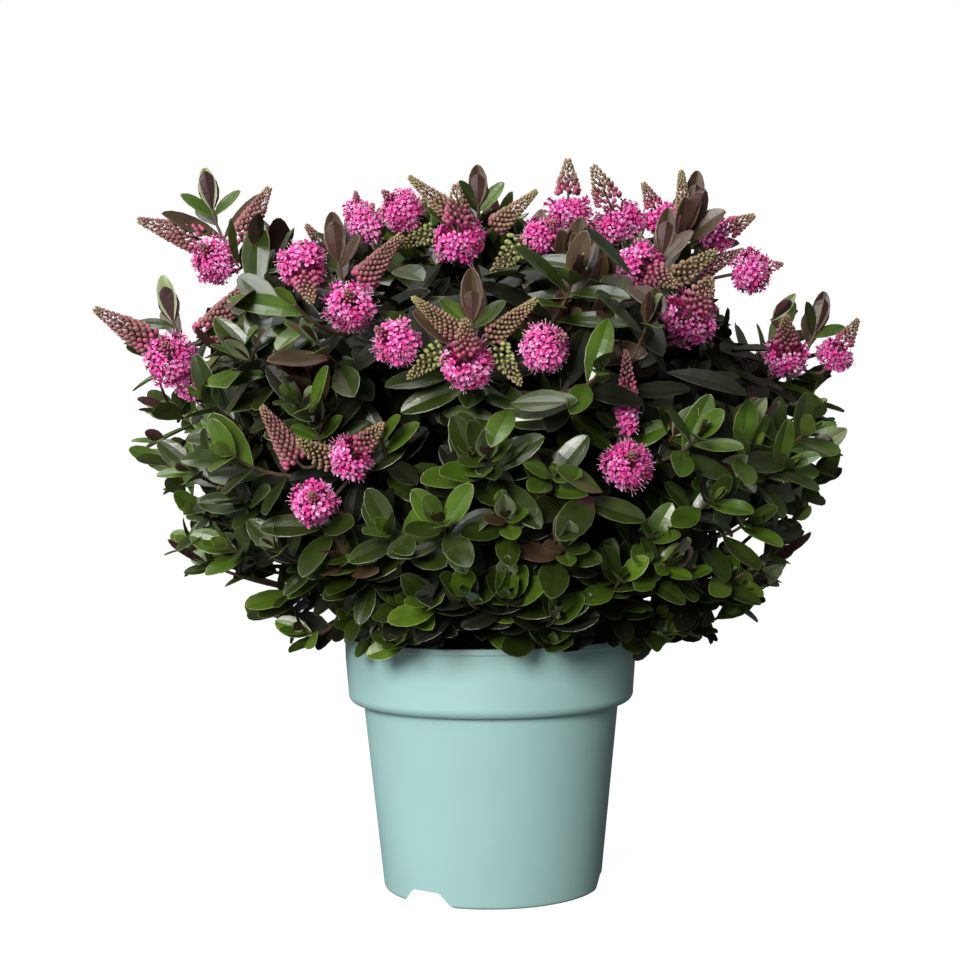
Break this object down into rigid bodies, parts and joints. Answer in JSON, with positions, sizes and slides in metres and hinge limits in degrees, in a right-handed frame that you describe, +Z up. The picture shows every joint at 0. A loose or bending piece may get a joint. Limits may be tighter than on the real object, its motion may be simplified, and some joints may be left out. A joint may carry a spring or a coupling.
{
  "type": "potted hebe shrub",
  "caption": "Evergreen flowering hebe shrub in a round plastic nursery pot: a dense dome of glossy oblong leaves in crossed pairs, with pink flower spikes.",
  "frame": {"origin": "centre of the pot's flat underside", "axes": "+Z up along the pot's axis; the pictured side faces -Y, and its right is +X"},
  "size_m": [0.4807, 0.4761, 0.4731],
  "materials": {
    "pot_plastic": "satin",
    "soil": "matte",
    "bark": "matte",
    "foliage": "satin"
  },
  "bodies": {
    "root": {"bough_back": "bark", "bough_back_left": "bark", "bough_back_left_low": "bark", "bough_back_left_top": "bark", "bough_back_low": "bark", "bough_back_right": "bark", "bough_back_right_low": "bark", "bough_back_right_top": "bark", "bough_back_top": "bark", "bough_centre": "bark", "bough_front_middle": "bark", "bough_left": "bark", "bough_low_front": "bark", "bough_low_front_left": "bark", "bough_low_front_right": "bark", "bough_low_left": "bark", "bough_low_right": "bark", "bough_middle_left": "bark", "bough_middle_right": "bark", "bough_right": "bark", "bough_side_left": "bark", "bough_side_right": "bark", "bough_top_centre": "bark", "bough_top_left": "bark", "bough_top_middle_right": "bark", "bough_top_right": "bark", "bough_upper_left": "bark", "bough_upper_right": "bark", "foliage_back": "foliage", "foliage_back_left": "foliage", "foliage_back_left_low": "foliage", "foliage_back_left_top": "foliage", "foliage_back_low": "foliage", "foliage_back_right": "foliage", "foliage_back_right_low": "foliage", "foliage_back_right_top": "foliage", "foliage_back_top": "foliage", "foliage_centre": "foliage", "foliage_front_middle": "foliage", "foliage_left": "foliage", "foliage_low_front": "foliage", "foliage_low_front_left": "foliage", "foliage_low_front_right": "foliage", "foliage_low_left": "foliage", "foliage_low_right": "foliage", "foliage_middle_left": "foliage", "foliage_middle_right": "foliage", "foliage_right": "foliage", "foliage_side_left": "foliage", "foliage_side_right": "foliage", "foliage_top_centre": "foliage", "foliage_top_left": "foliage", "foliage_top_middle_right": "foliage", "foliage_top_right": "foliage", "foliage_upper_left": "foliage", "foliage_upper_right": "foliage", "pot": "pot_plastic", "soil": "soil", "trunk": "bark"}
  },
  "joints": []
}
